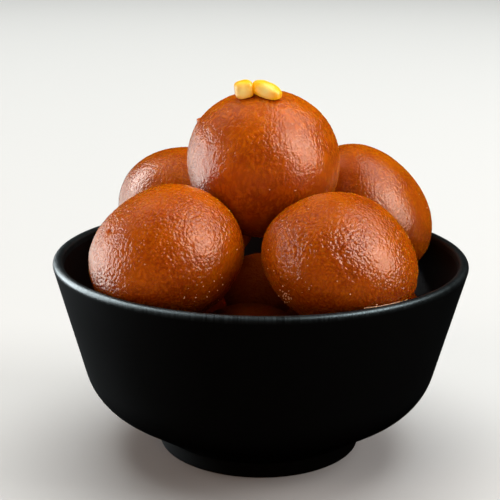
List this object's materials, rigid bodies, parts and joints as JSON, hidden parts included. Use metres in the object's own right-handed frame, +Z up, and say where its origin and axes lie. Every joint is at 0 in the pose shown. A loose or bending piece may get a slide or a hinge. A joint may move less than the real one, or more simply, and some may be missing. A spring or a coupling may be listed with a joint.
{
  "type": "gulab jamun",
  "caption": "Gulab jamun heaped in a small round black bowl with a foot ring, syrup-soaked brown dumplings topped with slivers of yellow nut.",
  "frame": {"origin": "on the base plane, under the middle of the bowl's foot ring", "axes": "+Z up along the bowl's axis, -Y towards the side with the two front dumplings, +X to the right seen from there"},
  "size_m": [0.115, 0.115, 0.1041],
  "materials": {
    "black_melamine": "satin matt black moulded melamine",
    "jamun_skin": "orange-brown fried milk dough, finely wrinkled, wet with sugar syrup",
    "yellow_nut": "saffron-yellow peeled nut"
  },
  "bodies": {
    "root": {"bowl": "black_melamine", "jamun_lower_front": "jamun_skin", "jamun_lower_back": "jamun_skin", "jamun_lower_left": "jamun_skin", "jamun_lower_right": "jamun_skin", "jamun_front_left": "jamun_skin", "jamun_front_right": "jamun_skin", "jamun_back_left": "jamun_skin", "jamun_back_right": "jamun_skin", "jamun_top": "jamun_skin", "nut_block": "yellow_nut", "nut_sliver": "yellow_nut"}
  },
  "joints": []
}
